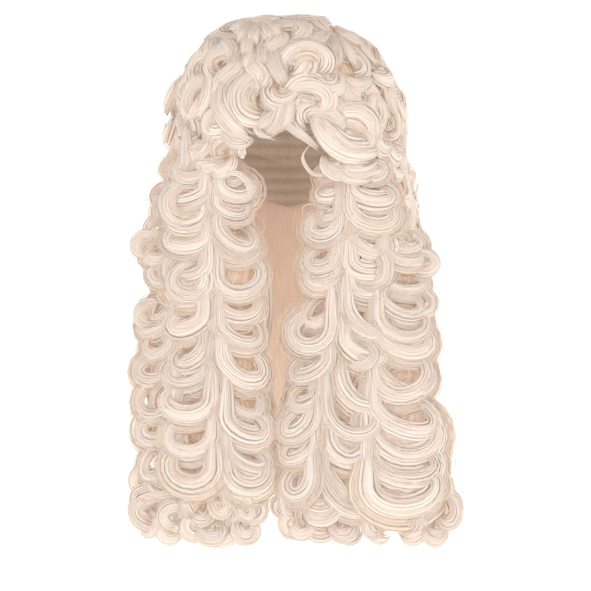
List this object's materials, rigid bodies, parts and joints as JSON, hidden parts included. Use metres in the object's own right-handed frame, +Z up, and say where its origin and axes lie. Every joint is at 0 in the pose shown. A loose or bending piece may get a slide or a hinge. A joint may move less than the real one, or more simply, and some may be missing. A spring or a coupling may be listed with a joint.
{
  "type": "barrister wig",
  "caption": "Full-bottomed white curly wig: a net cap with crown curls, side and back falls, and two long front lappets, worn on the head.",
  "frame": {"origin": "inside of the cap at its highest point, where the wearer's head carries it", "axes": "+Z up along the long side of the wig, -Y towards the way the wearer faces, +X towards the right of someone who looks at the wearer's face"},
  "size_m": [0.3095, 0.2747, 0.5105],
  "materials": {
    "hair": "satin curled synthetic hair",
    "net": "matt woven net"
  },
  "bodies": {
    "root": {"foundation_cap": "net", "fringe_left": "hair", "fringe_right": "hair", "temple_roll_left": "hair", "temple_roll_right": "hair", "crown_top": "hair", "crown_side_left": "hair", "crown_side_right": "hair", "crown_back": "hair", "side_fall_left": "hair", "side_fall_right": "hair", "back_row_1": "hair", "back_row_2": "hair", "back_row_3": "hair", "back_row_4": "hair", "lappet_left_inner": "hair", "lappet_left_outer": "hair", "lappet_left_ends": "hair", "lappet_right_inner": "hair", "lappet_right_outer": "hair", "lappet_right_edge": "hair", "lappet_right_ends": "hair"}
  },
  "joints": []
}
